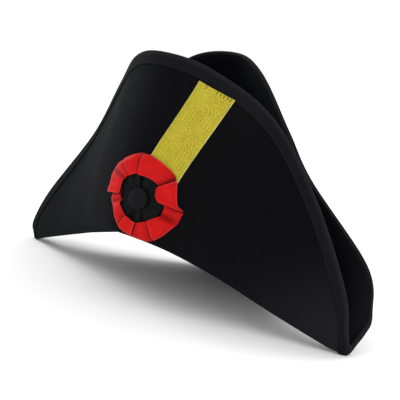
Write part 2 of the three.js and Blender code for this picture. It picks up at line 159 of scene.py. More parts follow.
def made_of_grids(name, grids, cloth=None, close_rows=True, close_columns=True, marks=None):
    """An object over one or more grids of points in millimetres: a quad for each cell, points that
    coincide merged, faces turned outward by the sign of the volume they enclose. cloth is the place of
    each point on the flat cloth in millimetres, with one row or column more where the grids close on
    themselves, and becomes the UV map in metres. marks are named numbers, one for each point."""
    count, rows, columns = grids.shape[:3]
    spans = (count, rows - 1 + close_rows, columns - 1 + close_columns)
    g, i, j = np.meshgrid(*(np.arange(n) for n in spans), indexing="ij")
    steps = [(0, 0), (1, 0), (1, 1), (0, 1)]
    quads = np.stack([(g * rows + (i + a) % rows) * columns + (j + b) % columns for a, b in steps], -1)
    quads = quads.reshape(-1, 4)
    flat = grids.reshape(-1, 3) * METRE
    p, q, r, t = (flat[quads[:, k]] for k in range(4))
    volume = (np.cross(p, q) * r + np.cross(p, r) * t).sum()
    order = [0, 1, 2, 3] if volume > 0 else [3, 2, 1, 0]
    mesh = bpy.data.meshes.new(name)
    mesh.from_pydata(flat.tolist(), [], quads[:, order].tolist())
    if cloth is not None:
        layer = mesh.uv_layers.new(name="cloth")
        corner_uv = np.stack([cloth[g, i + a, j + b] for a, b in steps], -2).reshape(-1, 4, 2)[:, order]
        layer.data.foreach_set("uv", (corner_uv * METRE).astype(np.float32).ravel())
    for mark, values in (marks or {}).items():
        stored = mesh.attributes.new(mark, "FLOAT", "POINT")
        stored.data.foreach_set("value", np.broadcast_to(values, grids.shape[:3]).astype(np.float32).ravel())
    work = bmesh.new()
    work.from_mesh(mesh)
    bmesh.ops.remove_doubles(work, verts=work.verts, dist=1e-7)
    work.to_mesh(mesh)
    work.free()
    mesh.polygons.foreach_set("use_smooth", np.ones(len(mesh.polygons), bool))
    piece = bpy.data.objects.new(name, mesh)
    bpy.context.scene.collection.objects.link(piece)
    return piece


class Amount:
    """A number that varies over a surface. Adding to it, subtracting or multiplying adds a Math node to
    its finish."""

    def __init__(self, finish, socket):
        self.finish = finish
        self.socket = socket

    def combined(self, operation, first, second):
        return self.finish.node("Math", {"operation": operation}, {0: first, 1: second})

    def __add__(self, other):
        return self.combined("ADD", self, other)

    def __sub__(self, other):
        return self.combined("SUBTRACT", self, other)

    def __rsub__(self, other):
        return self.combined("SUBTRACT", other, self)

    def __mul__(self, other):
        return self.combined("MULTIPLY", self, other)

    __radd__ = __add__
    __rmul__ = __mul__


class Finish:
    """A material: nodes round one Principled shader. What is the same all over the surface is given by
    keyword and set straight on the shader."""

    def __init__(self, name, **even):
        self.material = bpy.data.materials.new(name)
        self.material.use_nodes = True
        self.nodes = self.material.node_tree.nodes
        self.links = self.material.node_tree.links
        self.shader = self.nodes["Principled BSDF"]
        for socket, value in even.items():
            self.shader.inputs[socket.replace("_", " ")].default_value = value

    def put(self, sockets, key, value):
        """Sets one socket, found by its number, name or identifier, or links an Amount to it."""
        if isinstance(key, int):
            socket = sockets[key]
        else:
            socket = next(x for x in sockets if key in (x.identifier, x.name))
        if isinstance(value, Amount):
            self.links.new(value.socket, socket)
        else:
            socket.default_value = value

    def node(self, kind, settings=None, inputs=None, out=0):
        """Adds a node, sets its settings and then its sockets, and gives back one of its outputs."""
        made = self.nodes.new("ShaderNode" + kind)
        for key, value in (settings or {}).items():
            setattr(made, key, value)
        for key, value in (inputs or {}).items():
            self.put(made.inputs, key, value)
        if isinstance(out, int):
            return Amount(self, made.outputs[out])
        return Amount(self, next(x for x in made.outputs if x.identifier == out))

    def noise(self, place, scale, detail=2.0, roughness=0.5, distortion=0.0):
        """Soft noise from 0 to 1 at a place, with so many lumps in a metre."""
        values = {"Vector": place, "Scale": scale, "Detail": detail}
        values |= {"Roughness": roughness, "Distortion": distortion}
        return self.node("TexNoise", {}, values)

    def threads(self, place, way, scale, **values):
        """Even threads from 0 to 1, side by side along X or Y of the place."""
        values = {key.replace("_", " "): value for key, value in values.items()}
        settings = {"wave_type": "BANDS", "bands_direction": way}
        return self.node("TexWave", settings, {"Vector": place, "Scale": scale, **values})

    def mark(self, name):
        """The mark of that name on the mesh."""
        return self.node("Attribute", {"attribute_name": name}, {}, "Fac")

    def between(self, amount, low, high):
        """An amount that goes smoothly from 0 at low to 1 at high."""
        settings = {"interpolation_type": "SMOOTHSTEP", "clamp": True}
        return self.node("MapRange", settings, {"Value": amount, "From Min": low, "From Max": high})

    def blend(self, amount, first, second):
        """The first colour where the amount is 0 and the second where it is 1."""
        colours = {"A_Color": first, "B_Color": second, "Factor_Float": amount}
        return self.node("Mix", {"data_type": "RGBA"}, colours, "Result_Color")

    def raised(self, height, millimetres, under=None):
        """Normal of a surface raised by a height of 0 to 1, times so many millimetres."""
        inputs = {"Strength": 1.0, "Distance": millimetres * METRE, "Height": height}
        if under is not None:
            inputs["Normal"] = under
        return self.node("Bump", {}, inputs)

    def finished(self, **varying):
        """Links what varies over the surface to the shader, and gives back the material."""
        for socket, value in varying.items():
            self.put(self.shader.inputs, socket.replace("_", " "), value)
        return self.material


PALE_EDGE_WIDTH = 9.0


def wool_felt(name, dark, pale, lift, edge_wear_and_highlight=0.0, lit_from_below=None):
    """Wool felt: matted fibres with a low fuzz that catches light at a slant, a slow shift of shade where
    it was steamed and handled, and paler fibres where the mark from_edge is near 0, which is rubbed wear
    on the brim and a painted highlight on the band's rolled rim. Painted light, a paler colour where one
    is given, shows low on the front flap toward the horn on its right, where light comes up from below."""
    bluish = (0.76, 0.84, 1.0, 1.0)
    felt = Finish(name, Sheen_Weight=0.018, Sheen_Roughness=0.5, Sheen_Tint=bluish, Specular_IOR_Level=0.02)
    place = felt.node("TexCoord", {}, {}, "Object")
    handled = felt.noise(place, 11.0, 2.0)
    matting = felt.noise(place, 260.0, 5.0, 0.62, 0.4)
    fibre = felt.noise(place, 1900.0, 3.0, 0.6, 1.2)
    fleck = felt.between(felt.noise(place, 2600.0, 1.0, 0.5, 2.0), 0.66, 0.78)
    shade = handled * 0.5 + matting * 0.5 - 0.25 + fleck * 0.35
    # Paler near the free edge: rubbed wear on the brim, and on the band a painted highlight where its rolled
    # rim catches light.
    if edge_wear_and_highlight:
        worn = 1 - felt.between(felt.mark("from_edge"), 0.0, PALE_EDGE_WIDTH * METRE)
        shade = shade + worn * edge_wear_and_highlight
    colour = felt.blend(felt.between(shade, -0.15, 0.95), dark, pale)
    # Painted light: a paler colour low on the front flap toward the right horn, where light comes up from
    # below.
    if lit_from_below:
        x, y, z = (felt.node("SeparateXYZ", {}, {"Vector": place}, axis) for axis in "XYZ")
        lit_toward_horn = felt.between(x - y - z * 0.5 + matting * 0.01, 0.14, 0.25)
        colour = felt.blend(lit_toward_horn, colour, lit_from_below)
    rough = matting * 0.12 + 0.82
    normal = felt.raised(matting, 0.32 * lift)
    normal = felt.raised(fibre, 0.16 * lift, normal)
    return felt.finished(Base_Color=colour, Roughness=rough, Normal=normal)


BRIM_AROUND = 396
FREE_RIM_BULGE = 0.25
HEAD_RIM_BULGE = 0.2
brim_u = np.arange(BRIM_AROUND) / BRIM_AROUND
brim_s = np.concatenate(
    [
        np.linspace(0, UNDER_END, 22, endpoint=False),
        np.linspace(UNDER_END, FOLD_END, 22, endpoint=False),
        np.linspace(FOLD_END, 1, 68),
    ]
)
at_u, at_s = np.meshgrid(brim_u, brim_s, indexing="ij")
outer_face, outward = felt_face(at_u, at_s), felt_out(at_u, at_s)
inner_face = outer_face - outward * BRIM_FELT
beyond_edge = unit(outer_face[:, -1] - outer_face[:, -3])
beyond_head = unit(outer_face[:, 0] - outer_face[:, 2])
turn = np.radians([35.0, 90.0, 145.0])[None, :, None]


def cut_rim(face, out, beyond, bulge):
    """Rounded cut edge of the felt: a half turn from the outer face to the inner one, which bulges out."""
    across = out[:, None] * BRIM_FELT / 2
    return face[:, None] - across + across * np.cos(turn) + beyond[:, None] * bulge * np.sin(turn)


free_rim = cut_rim(outer_face[:, -1], outward[:, -1], beyond_edge, FREE_RIM_BULGE)
head_rim = cut_rim(outer_face[:, 0], outward[:, 0], beyond_head, HEAD_RIM_BULGE)[:, ::-1]
brim_points = np.concatenate([outer_face, free_rim, inner_face[:, ::-1], head_rim], 1)
brim_points[..., 2] = np.maximum(brim_points[..., 2], 0)
# The mark from_edge is the way along the felt from the free edge, and far from it at the head opening.
steps_up = np.linalg.norm(np.diff(outer_face, axis=1), axis=-1)
to_edge = np.concatenate([steps_up[:, ::-1].cumsum(1)[:, ::-1], np.zeros((BRIM_AROUND, 1))], 1)
rims = np.zeros((BRIM_AROUND, 3))
from_edge = np.concatenate([to_edge, rims, to_edge[:, ::-1], rims + 100], 1) * METRE
brim = made_of_grids("brim_felt", brim_points[None], marks={"from_edge": from_edge[None]})
black, pale_black = (0.0025, 0.0025, 0.0031, 1), (0.0070, 0.0070, 0.0086, 1)
# The colour of the painted light low on the front flap toward the right horn.
lit_from_below_black = (0.0118, 0.0116, 0.0140, 1)
brim.data.materials.append(wool_felt("black_wool_felt", black, pale_black, 1.0, 0.5, lit_from_below_black))
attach(brim, "root")
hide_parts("brim")


# ---- Crown ----
# A deep round crown of the same felt, blocked over a form. It stands inside the flaps, and its lower
# edge is whipped to the edge of the head opening with black thread.

CROWN_FELT = 2.0
CROWN_DEPTH = 104.0
CROWN_FULLNESS = 2.8
CROWN_FLARE = 1.2


def dome(grow, depth, bearing, swing):
    """Point of the crown at a bearing round it and a swing from its edge to its top: an oval whose
    section is cos^(2/p) across and sin^(2/p) high, flared at the edge, with slow uneven dents."""
    dents = 1 + 0.006 * np.sin(2 * bearing + 0.7) * np.sin(2 * swing)
    dents = dents + 0.004 * np.sin(5 * bearing + 2 * swing)
    across = np.cos(swing) ** (2 / CROWN_FULLNESS) * dents
    height = depth * np.sin(swing) ** (2 / CROWN_FULLNESS)
    flare = CROWN_FLARE * np.clip(1 - height / 7, 0, 1) ** 2
    x = np.cos(bearing) * ((HEAD_WIDTH / 2 + grow) * across + flare)
    y = np.sin(bearing) * ((HEAD_LENGTH / 2 + grow) * across + flare)
    return HEAD_CENTRE + x[..., None] * [1, 0, 0] + y[..., None] * HEAD_BACK + height[..., None] * HEAD_AXIS


CROWN_AROUND = 240
crown_swing = np.radians(np.concatenate([np.linspace(0, 1, 10)[:-1] ** 2 * 9, np.linspace(9, 90, 52)]))
crown_swing[-1] = np.pi / 2 - 1e-9
bearing, swing = np.meshgrid(np.arange(CROWN_AROUND) / CROWN_AROUND * 2 * np.pi, crown_swing, indexing="ij")
outer_dome = dome(CROWN_FELT, CROWN_DEPTH, bearing, swing)
inner_dome = dome(0.0, CROWN_DEPTH - CROWN_FELT, bearing, swing)
outer_dome[:, -1] = outer_dome[:, -1].mean(0)
inner_dome[:, -1] = inner_dome[:, -1].mean(0)
crown_points = np.concatenate([outer_dome, inner_dome[:, ::-1]], 1)
crown = made_of_grids("crown_felt", crown_points[None])
black, pale_black = (0.0023, 0.0023, 0.0028, 1), (0.0066, 0.0066, 0.0079, 1)
crown.data.materials.append(wool_felt("black_crown_felt", black, pale_black, 1.0))
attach(crown, "root")
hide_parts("crown")


def sewn_thread(name, paths, out, radius):
    """Short runs of thread: a round section carried along each path of points, at the radius all along
    but closed at both ends. out is the direction out of the cloth at each path."""
    along = unit(np.gradient(paths, axis=1))
    side = unit(np.cross(along, out[:, None]))
    over = np.cross(side, along)
    swell = radius * np.sqrt(np.clip(1 - np.linspace(-1, 1, paths.shape[1]) ** 8, 0, 1))[None, :, None, None]
    around = (np.arange(6) / 6 * 2 * np.pi)[:, None]
    ring = np.cos(around) * side[:, :, None] + np.sin(around) * over[:, :, None]
    return made_of_grids(name, paths[:, :, None] + ring * swell, close_rows=False)


def thread_finish(name, colour):
    """Spun cotton thread: fine slanting strands, slightly shiny."""
    thread = Finish(name, Sheen_Weight=0.04, Specular_IOR_Level=0.1)
    place = thread.node("TexCoord", {}, {}, "Object")
    strand = thread.noise(place, 5200.0, 1.0)
    bright = tuple(min(1.0, c * 1.7) for c in colour[:3]) + (1,)
    return thread.finished(Base_Color=thread.blend(strand, colour, bright), Roughness=strand * 0.2 + 0.5)


WHIPS = 132
WHIP_RADIUS = 0.3
WHIP_SLANT = 1.1
whip = np.arange(WHIPS)
bearing = (whip + 0.3 * np.sin(whip * 1.7)) / WHIPS * 2 * np.pi
cos_round, sin_round = np.cos(bearing)[:, None], np.sin(bearing)[:, None]
inward = -unit(cos_round * [1, 0, 0] * HEAD_LENGTH + sin_round * HEAD_BACK * HEAD_WIDTH)
seam = HEAD_CENTRE + cos_round * [HEAD_WIDTH / 2, 0, 0] + sin_round * HEAD_BACK * HEAD_LENGTH / 2
slant = unit(np.cross(HEAD_AXIS, inward)) * WHIP_SLANT
# Path of a stitch from the crown over the seam and into the brim: up, inward and along the slant.
whip_path = [
    (4.2, -1.9, -1.0), (3.6, -0.2, -0.8), (1.2, 0.45, -0.3), (-1.0, 0.5, 0.1),
    (-2.6, 0.3, 0.4), (-3.0, -1.4, 0.8), (-2.7, -3.2, 1.0),
]
paths = np.stack([seam + HEAD_AXIS * a + inward * b + slant * c for a, b, c in whip_path], 1)
whip_stitches = sewn_thread("crown_seam_stitches", paths, inward, WHIP_RADIUS)
whip_stitches.data.materials.append(thread_finish("black_thread", (0.006, 0.006, 0.007, 1)))
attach(whip_stitches, "root")


# ---- Edge band ----
# A strip of charcoal felt, 12 mm wide in the middle of the flaps and 17 mm at the horns. It is laid
# along the outer face of the free edge, rolled over the cut edge and machine stitched near its lower
# side with charcoal thread.

BAND_WIDTH = 12.4
BAND_WIDTH_AT_HORN = 17.5
BAND_FELT = 0.9
BAND_TURN_IN = 1.8
STITCH_INSET = 1.7
STITCH_PITCH = 3.0
STITCH_RADIUS = 0.2
SUNK_AT_STITCHES = 0.32


def place_from_edge(u, distances):
    """Places s on the ribs at u that lie so far in from the free edge in the middle of a flap, and
    farther where the band is wider: its width goes by the fourth power of how near the horn it is.
    They are found along 300 steps of each rib."""
    wider = 1 + (BAND_WIDTH_AT_HORN / BAND_WIDTH - 1) * through_ribs(rib_bearing, u)[:, 0] ** 4
    steps = np.linspace(1, 0, 301)
    grid_u, grid_s = np.meshgrid(u, steps, indexing="ij")
    run = np.linalg.norm(np.diff(felt_face(grid_u, grid_s), axis=1), axis=-1).cumsum(1)
    run = np.concatenate([np.zeros((len(u), 1)), run], 1)
    found = []
    for distance in (share * wider for share in distances):
        k = np.maximum((run > distance[:, None]).argmax(1), 1)
        low, high = (np.take_along_axis(run, k[:, None] - m, 1)[:, 0] for m in (1, 0))
        found.append(steps[k - 1] + (steps[k] - steps[k - 1]) * (distance - low) / (high - low))
    return np.stack(found, 1)


BAND_AROUND = 720
band_u = np.arange(BAND_AROUND) / BAND_AROUND
turn_over = np.radians(np.linspace(0, 180, 11)[1:-1])
down_leaf = np.linspace(BAND_WIDTH, 0, 22)
sunk = SUNK_AT_STITCHES * np.exp(-(((down_leaf - BAND_WIDTH + STITCH_INSET) / 0.7) ** 2))
outside, inside = GAP + BAND_FELT, -BRIM_FELT - GAP - BAND_FELT
middle, half = (outside + inside) / 2, (outside - inside) / 2
# Section of the band: how far in from the free edge, how far out of the felt's outer face and how far
# beyond the cut edge each of its points lies.
band_section = np.array(
    [(BAND_WIDTH + 0.1, GAP + 0.1, 0), (BAND_WIDTH + 0.25, GAP + 0.35, 0), (BAND_WIDTH + 0.2, GAP + 0.65, 0)]
    + [(d, outside - sink, 0) for d, sink in zip(down_leaf, sunk)]
    + [(0, middle + half * np.cos(a), 1.5 * np.sin(a)) for a in turn_over]
    + [(0, inside, 0), (BAND_TURN_IN / 2, inside, 0), (BAND_TURN_IN, inside + 0.15, 0)]
    + [(BAND_TURN_IN + 0.3, inside + 0.6, 0), (BAND_TURN_IN, inside + 0.85, 0), (0, inside + BAND_FELT, 0)]
    + [(0, middle, 0.5), (0, GAP, 0.4), (1, GAP, 0), (BAND_WIDTH / 2, GAP, 0)]
)
band_s = place_from_edge(band_u, band_section[:, 0])
at_u = np.broadcast_to(band_u[:, None], band_s.shape)
beyond = unit(felt_face(band_u, np.full(BAND_AROUND, 1.0)) - felt_face(band_u, np.full(BAND_AROUND, 0.97)))
band_out = felt_out(at_u, band_s)
band_points = felt_face(at_u, band_s) + band_out * band_section[:, 1, None]
band_points = band_points + beyond[:, None] * band_section[:, 2, None]
band_points[..., 2] = np.maximum(band_points[..., 2], 0)
# On the band, from_edge is twice the way in from the free edge, so its paler rim, a painted highlight, stays
# narrow.
band_from_edge = np.broadcast_to(np.abs(band_section[:, 0]) * 2 * METRE, band_s.shape)
band = made_of_grids("edge_band_felt", band_points[None], marks={"from_edge": band_from_edge[None]})
charcoal, pale_charcoal = (0.0052, 0.0051, 0.0063, 1), (0.0132, 0.0129, 0.0158, 1)
# The band's paler rim is a painted highlight on its rolled edge.
band.data.materials.append(wool_felt("charcoal_band_felt", charcoal, pale_charcoal, 0.8, 0.6))
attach(band, "root")
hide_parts("edge_band")

edge_points = felt_face(np.linspace(0, 1, 2001), np.full(2001, 1.0))
edge_run = np.concatenate([[0], np.linalg.norm(np.diff(edge_points, axis=0), axis=1).cumsum()])
stitch_count = int(edge_run[-1] / STITCH_PITCH)
# Each stitch covers the middle four fifths of its pitch and stands up in a low arch.
stitch_run = (np.arange(stitch_count)[:, None] + np.linspace(0.1, 0.9, 7)) / stitch_count * edge_run[-1]
stitch_u = np.interp(stitch_run, edge_run, np.linspace(0, 1, 2001))
stitch_s = place_from_edge(stitch_u.ravel(), [BAND_WIDTH - STITCH_INSET]).reshape(stitch_u.shape)
stitch_out = felt_out(stitch_u, stitch_s)
rise = outside - 0.42 + 0.34 * np.sin(np.linspace(0, np.pi, 7)) ** 0.6
paths = felt_face(stitch_u, stitch_s) + stitch_out * rise[:, None]
band_stitches = sewn_thread("band_stitches", paths, stitch_out[:, 3], STITCH_RADIUS)
band_stitches.data.materials.append(thread_finish("charcoal_thread", (0.005, 0.005, 0.006, 1)))
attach(band_stitches, "root")


# ---- Strap ----
# A strip of mustard gold brocade ribbon, 38 mm wide. It lies on the front flap from the band's seam
# down to the cockade, leaning away from the middle. Its upper end is turned under and hand sewn.

COCKADE_X = 21.0
COCKADE_Z = 110.0
LOWEST_DRAPE = -41.0
STRAP_WIDTH = 38.0
STRAP_THICKNESS = 1.0
STRAP_LIFT = 0.4
STRAP_LENGTH = 123.0
STRAP_SLANT = 1.6
STRAP_OFFSET = 4.0
STRAP_LEAN = np.radians(22.5)
HEXAGON_START = 30.3
HEXAGON_PITCH = 42.7
HEXAGON_LOW, HEXAGON_HIGH = 12.7, 30.0
GROOVE_PITCH = 3.5
GROOVE_HALF = 0.42
KNOT_PITCH = 1.1
KNOTS_MIDDLE, KNOTS_SIDE, SELVAGE_SIDE = 2.3, 14.4, 18.0


def felt_behind(x, y, across, up, origin):
    """Places (u, s) of the front flap's outer face that lie x along across and y along up from the
    origin, found from a straight guess by eight steps of Newton's method in two unknowns."""
    guess = origin + x[..., None] * across + y[..., None] * up
    u = guess[..., 0] / 1200
    s = FOLD_END + (guess[..., 2] - 62) / 185 * (1 - FOLD_END)
    step = 1e-4
    for _ in range(8):
        here = felt_face(u, s)
        by_u, by_s = (felt_face(u + step, s) - here) / step, (felt_face(u, s - step) - here) / -step
        miss_x, miss_y = x - (here - origin) @ across, y - (here - origin) @ up
        a, b, c, d = by_u @ across, by_s @ across, by_u @ up, by_s @ up
        size = a * d - b * c
        u = u + (d * miss_x - b * miss_y) / size
        s = np.clip(s + (a * miss_y - c * miss_x) / size, UNDER_END, 1 - step)
    return u, s


def flap_point(x, z):
    """Point of the front flap that lies at x across and z up."""
    level, upright = np.array([1.0, 0, 0]), np.array([0, 0, 1.0])
    return felt_face(*felt_behind(np.array(x), np.array(z), level, upright, np.zeros(3)))


reach = 20.0
trim_origin = flap_point(COCKADE_X, COCKADE_Z)
trim_across = unit(flap_point(COCKADE_X + reach, COCKADE_Z) - flap_point(COCKADE_X - reach, COCKADE_Z))
up_slope = flap_point(COCKADE_X, COCKADE_Z + reach) - flap_point(COCKADE_X, COCKADE_Z - reach)
trim_out = unit(np.cross(trim_across, up_slope))
trim_up = np.cross(trim_out, trim_across)


def on_flap(x, y, height):
    """Points laid on the flap: x across and y up it from the middle of the cockade, and so high over
    the felt behind them."""
    level = np.maximum(y, LOWEST_DRAPE)
    felt = felt_face(*felt_behind(x, level, trim_across, trim_up, trim_origin))
    return felt + (y - level)[..., None] * trim_up + height[..., None] * trim_out


def brocade_relief(x, y):
    """How far each spot of the brocade is raised, from 0 to 1. Grooves 0.8 mm wide run 3.5 mm apart
    round long hexagons, which repeat up the ribbon: level lines of |x| plus how far y is above or
    below the hexagon's straight sides. They are worn in places, by two crossed slow waves. A column of
    knots runs up the middle and one along each side. scatter is an uneven number from 0 to 1 for each
    knot, from the end digits of a large sine."""
    from_middle = np.abs(x)
    climb = np.mod(y - HEXAGON_START, HEXAGON_PITCH)
    ring = from_middle + np.maximum(climb - HEXAGON_HIGH, 0) + np.maximum(HEXAGON_LOW - climb, 0)
    to_groove = np.abs(np.mod(ring + GROOVE_PITCH / 2, GROOVE_PITCH) - GROOVE_PITCH / 2)
    groove = np.exp(-((to_groove / GROOVE_HALF) ** 4)) * (ring > 2.5)
    column, row = np.floor(x / KNOT_PITCH), np.floor(y / KNOT_PITCH)
    scatter = np.mod(np.sin(column * 12.9898 + row * 78.233) * 43758.5453, 1)
    worn = 0.5 + 0.5 * np.sin(0.31 * y + 0.9) * np.sin(0.23 * x + 0.17 * y + 2.0)
    knot = np.sin(np.pi * np.mod(x / KNOT_PITCH, 1)) * np.sin(np.pi * np.mod(y / KNOT_PITCH, 1))
    knotted = np.clip((KNOTS_MIDDLE - from_middle) / 0.4, 0, 1)
    knotted = knotted + np.clip((from_middle - KNOTS_SIDE) / 0.4, 0, 1)
    knots = 0.45 + 0.55 * knot * (scatter > 0.3)
    plain = 0.62 + 0.38 * knot - 0.5 * (scatter > 0.8) * knot
    cut = (0.3 + 0.7 * worn * np.clip(0.75 + x / 18, 0.3, 1)) * groove
    return np.clip(knotted * knots + (1 - knotted) * plain * (1 - cut), 0, 1)


STRAP_ROWS = 480
EDGE_ROUND = 0.4
RELIEF_DEPTH = 0.17
TURNED_UNDER = 9.0
strap_front = np.linspace(-1, 1, 150) * (STRAP_WIDTH / 2 - EDGE_ROUND)
strap_y = np.linspace(0, STRAP_LENGTH, STRAP_ROWS)
front_x, front_y = np.meshgrid(strap_front, strap_y)
relief = brocade_relief(front_x, front_y)
selvage = np.clip((np.abs(front_x) - SELVAGE_SIDE) / 0.4, 0, 1)
relief = relief * (1 - selvage)
from_end = front_y - STRAP_LENGTH
turned_under = np.clip((from_end + TURNED_UNDER) / 2, 0, 1)
over_band = np.clip((from_end + 4.5) / 3, 0, 1)
# Where the hand stitches of the upper end lie across the strap. Each is a short line up to the end.
sewn_x = np.array([-9.5, 2.2, 5.8, 9.2, 12.6, 15.8])
sewn = np.exp(-((front_x[..., None] - sewn_x) / 0.42) ** 2).sum(-1) * np.clip((from_end + 3.8) / 0.6, 0, 1)
relief = relief * (1 - 0.9 * np.clip(sewn, 0, 1))
weft = 0.5 + 0.5 * np.cos(2 * np.pi * front_y / 0.95)
front_height = STRAP_THICKNESS + RELIEF_DEPTH * relief * (0.75 + 0.25 * weft)
front_height = front_height + 0.14 * selvage + 0.45 * turned_under + 0.6 * over_band
# The section goes across the front, round one side, back across the flat back and round the other.
edge_turn = np.radians([30.0, 90.0, 150.0])
edge_x = STRAP_WIDTH / 2 - EDGE_ROUND + EDGE_ROUND * np.sin(edge_turn)
edge_share = (0.5 + 0.5 * np.cos(edge_turn))[None]
end_height = front_height[:, -1:]
back_x = np.linspace(1, -1, 9) * (STRAP_WIDTH / 2 - EDGE_ROUND)
rest_x = np.concatenate([edge_x, back_x, -edge_x])[None]
rest_z = [end_height * edge_share, np.zeros((STRAP_ROWS, 9)), end_height * edge_share[:, ::-1]]
strap_x = np.concatenate([front_x, np.repeat(rest_x, STRAP_ROWS, 0)], 1)
strap_z = np.concatenate([front_height, *rest_z], 1)
strap_x = strap_x + 0.1 * np.sin(strap_y / 11)[:, None] + 0.03 * np.sin(strap_y / 2.3)[:, None]
strap_y = strap_y[:, None] * (1 + STRAP_SLANT * (strap_x / STRAP_WIDTH + 0.5) / STRAP_LENGTH)
strap_relief = np.concatenate([relief, np.ones((STRAP_ROWS, rest_x.shape[1]))], 1)
# Each end closes through a thinner row a little further on, and then at one point.
ends = []
for row, way in ((0, -1), (-1, 1)):
    middle_z = strap_z[row].mean()
    thinner = (strap_x[row], strap_y[row] + 0.2 * way, middle_z + (strap_z[row] - middle_z) * 0.6)
    tip = (0.0, strap_y[row].mean() + 0.25 * way, middle_z)
    point = tuple(np.full(strap_x.shape[1], place) for place in tip)
    ends.append((thinner, point))
(low_row, low_point), (high_row, high_point) = ends
strap_x, strap_y, strap_z = (
    np.vstack([low_point[c], low_row[c], whole, high_row[c], high_point[c]])
    for c, whole in enumerate((strap_x, strap_y, strap_z))
)
strap_relief = np.pad(strap_relief, ((2, 2), (0, 0)))
strap_sewn = np.pad(sewn, ((2, 2), (0, rest_x.shape[1])))
cos_lean, sin_lean = np.cos(STRAP_LEAN), np.sin(STRAP_LEAN)
lean_x = (strap_x + STRAP_OFFSET) * cos_lean + strap_y * sin_lean
lean_y = -(strap_x + STRAP_OFFSET) * sin_lean + strap_y * cos_lean
strap_points = on_flap(lean_x, lean_y, strap_z + STRAP_LIFT)
strap_cloth = np.stack([strap_x, strap_y], -1)
strap_cloth = np.concatenate([strap_cloth, strap_cloth[:, :1]], 1)
at_side = np.clip((np.abs(strap_x) - STRAP_WIDTH / 2 + 0.75) / 0.3, 0, 1)
strap = made_of_grids(
    "strap_brocade", strap_points[None], strap_cloth[None], close_rows=False,
    marks={"raised": strap_relief[None], "selvage": at_side[None], "sewn": strap_sewn[None]},
)

brocade = Finish("gold_brocade", Sheen_Weight=0.03, Specular_IOR_Level=0.15)
cloth_place = brocade.node("UVMap", {"uv_map": "cloth"})
raised = brocade.mark("raised")
weave = brocade.threads(cloth_place, "Y", 320.0, Distortion=1.2, Detail=1.0, Detail_Scale=3.0)
slub = brocade.noise(cloth_place, 900.0, 3.0)
patch = brocade.noise(cloth_place, 60.0, 2.0)
colour = brocade.blend(raised * 0.8 + weave * 0.2, (0.15, 0.115, 0.006, 1), (0.54, 0.45, 0.027, 1))
colour = brocade.blend(brocade.between(slub * 0.7 + patch * 0.3, 0.45, 0.85), colour, (0.60, 0.53, 0.048, 1))
speck = brocade.noise(cloth_place, 640.0, 2.0, 0.6)
colour = brocade.blend(brocade.between(speck, 0.56, 0.72) * 0.5, colour, (0.20, 0.16, 0.008, 1))
colour = brocade.blend(brocade.between(speck, 0.44, 0.30) * 0.35, colour, (0.78, 0.70, 0.075, 1))
colour = brocade.blend(brocade.mark("selvage") * 0.6, colour, (0.78, 0.71, 0.22, 1))
colour = brocade.blend(brocade.mark("sewn") * 0.8, colour, (0.06, 0.048, 0.014, 1))
rough = 0.62 - raised * 0.16 + slub * 0.1
normal = brocade.raised(weave, 0.10)
normal = brocade.raised(slub, 0.12, normal)
strap.data.materials.append(brocade.finished(Base_Color=colour, Roughness=rough, Normal=normal))
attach(strap, "root")
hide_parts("strap")


# ---- Black rosette ----
# A ring of black satin ribbon, gathered into fifteen uneven pleats round the middle of the cockade.

ROSETTE_RADIUS = 25.0
ROSETTE_TOP = 4.1
COCKADE_BACK = 1.9
ROSETTE_AROUND = 720
# Folds of the rosette: bearing in degrees, and how high the ribbon lies just before and just after.
# The last is the first one again, a turn later.
rosette_folds = np.array(
    [
        (-170, 0.2, 1.2), (-150, 0.1, 1.1), (-130, 0.3, 1.0), (-113, 0.1, -0.5), (-99, -0.5, 0.9),
        (-82, 0.9, -0.6), (-72, -0.6, 1.1), (-22, 0.2, 1.0), (4, 0.1, 1.3), (30, 0.0, 1.1),
        (58, 0.3, 1.2), (88, 1.2, -1.0), (101, -1.2, 1.2), (126, 0.2, 1.2), (151, 0.1, 1.1),
        (190, 0.2, 1.2),
    ]
)


def rosette_height(turn_degrees, radius):
    """Height of the rosette's face: straight between its folds, with a drop of 1.5 degrees at each, all
    of it fading towards the middle, over a soft hump across the ring."""
    places = (rosette_folds[:, :1] + [-0.75, 0.75]).ravel()
    heights = rosette_folds[:, 1:].ravel()
    pleat = np.interp(turn_degrees, places, heights)
    hump = 0.5 * np.sin(np.pi * np.clip((radius - 8) / (ROSETTE_RADIUS - 8), 0, 1))
    return ROSETTE_TOP - 0.9 + pleat * np.clip(radius / 20, 0.35, 1) + hump


turn_degrees = np.linspace(-170, 190, ROSETTE_AROUND, endpoint=False)
ring_radius = np.concatenate([np.linspace(ROSETTE_RADIUS - 0.5, 8.5, 22), [0]])
turn_grid, radius_grid = np.meshgrid(turn_degrees, ring_radius, indexing="ij")
face_height = rosette_height(turn_grid, radius_grid)
face_height[:, -1] = ROSETTE_TOP
crimp = 0.12 * np.sin(np.radians(turn_grid) * 61) * np.clip((18 - radius_grid) / 10, 0, 1)
face_height = face_height + crimp * (radius_grid > 1)
rim_height = face_height[:, :1]
below = np.full((ROSETTE_AROUND, 2), COCKADE_BACK)
rosette_z = np.concatenate([below, (rim_height + COCKADE_BACK) / 2, face_height], 1)
below_and_rim = np.repeat([[0, ROSETTE_RADIUS - 0.5, ROSETTE_RADIUS]], ROSETTE_AROUND, 0)
rosette_r = np.concatenate([below_and_rim, radius_grid], 1)
turn_r = np.radians(np.repeat(turn_degrees[:, None], rosette_r.shape[1], 1))
rosette_points = on_flap(rosette_r * np.cos(turn_r), rosette_r * np.sin(turn_r), rosette_z)
